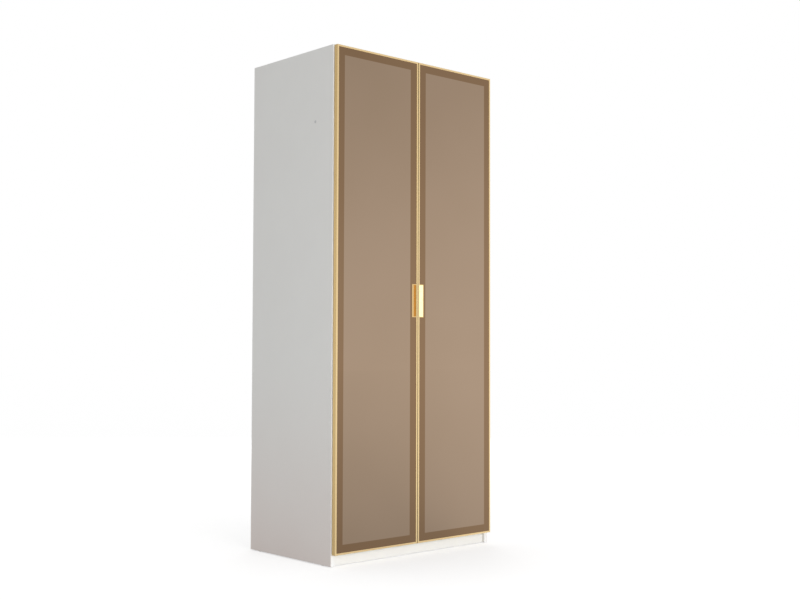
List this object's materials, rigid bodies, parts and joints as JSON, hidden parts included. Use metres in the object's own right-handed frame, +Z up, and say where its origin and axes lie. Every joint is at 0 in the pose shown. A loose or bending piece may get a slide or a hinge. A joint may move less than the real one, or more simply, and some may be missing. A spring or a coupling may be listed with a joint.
{
  "type": "wardrobe",
  "caption": "Tall wardrobe with a white board carcass, a recessed plinth and tinted mirror doors in slim gold frames, opened by recessed pulls onto a hat shelf and a hanging rail.",
  "frame": {"origin": "bottom centre of the closed wardrobe's box, on the floor", "axes": "+Z up, -Y out of the doors, +Y towards the wall, +X to the right as seen from the front"},
  "size_m": [0.9016, 0.574, 2.1],
  "materials": {
    "white_board": "white melamine facing with a fine pearl texture",
    "back_board": "white lacquered thin board",
    "gold_aluminium": "brushed gold anodised",
    "polished_gold": "polished gold anodised",
    "bronze_mirror": "bronze tinted mirror glass",
    "safety_backing": "matte white sheet",
    "black_tape": "matte foam",
    "hinge_steel": "nickel plated",
    "plated_screws": "zinc plated",
    "zinc_casting": "die-cast, matte grey",
    "rail_chrome": "bright chrome",
    "grey_cap": "matte",
    "white_plastic": "matte",
    "clear_rubber": "translucent silicone",
    "beech": "raw beech"
  },
  "bodies": {
    "carcass": {"back_joint_strip": "white_plastic", "back_panel_screws": "plated_screws", "bottom_panel": "white_board", "cam_bolts": "plated_screws", "cam_discs": "zinc_casting", "door_bumpers": "clear_rubber", "floor_glides": "white_plastic", "hanging_rail": "rail_chrome", "hat_shelf": "white_board", "hinge_arm_screws": "plated_screws", "hinge_plate_screws": "plated_screws", "kickboard": "white_board", "left_back_panel": "back_board", "left_hinge_arms": "hinge_steel", "left_hinge_plates": "hinge_steel", "left_side_panel": "white_board", "plinth_support": "white_board", "rail_socket_screws": "plated_screws", "rail_sockets": "rail_chrome", "rear_plinth_rail": "white_board", "rear_top_rail": "white_board", "right_back_panel": "back_board", "right_hinge_arms": "hinge_steel", "right_hinge_plates": "hinge_steel", "right_side_panel": "white_board", "screw_caps": "grey_cap", "shelf_screws": "plated_screws", "top_panel": "white_board", "wood_dowels": "beech"},
    "left_door": {"left_bottom_rail": "gold_aluminium", "left_corner_keys": "zinc_casting", "left_corner_screws": "plated_screws", "left_cup_screws": "plated_screws", "left_finger_pull": "polished_gold", "left_glazing_tape": "black_tape", "left_hinge_cups": "hinge_steel", "left_hinge_pins": "plated_screws", "left_hinge_stile": "gold_aluminium", "left_meeting_stile": "gold_aluminium", "left_mirror": "bronze_mirror", "left_mirror_backing": "safety_backing", "left_pull_screws": "plated_screws", "left_top_rail": "gold_aluminium"},
    "right_door": {"right_bottom_rail": "gold_aluminium", "right_corner_keys": "zinc_casting", "right_corner_screws": "plated_screws", "right_cup_screws": "plated_screws", "right_finger_pull": "polished_gold", "right_glazing_tape": "black_tape", "right_hinge_cups": "hinge_steel", "right_hinge_pins": "plated_screws", "right_hinge_stile": "gold_aluminium", "right_meeting_stile": "gold_aluminium", "right_mirror": "bronze_mirror", "right_mirror_backing": "safety_backing", "right_pull_screws": "plated_screws", "right_top_rail": "gold_aluminium"}
  },
  "joints": [
    {"name": "left_door_hinge", "type": "hinge", "parent": "carcass", "child": "left_door", "pos_m": [-0.4405, -0.2752, 1.0735], "axis": [0, 0, -1], "range_deg": [0, 105]},
    {"name": "right_door_hinge", "type": "hinge", "parent": "carcass", "child": "right_door", "pos_m": [0.4405, -0.2752, 1.0735], "axis": [0, 0, 1], "range_deg": [0, 105]}
  ]
}
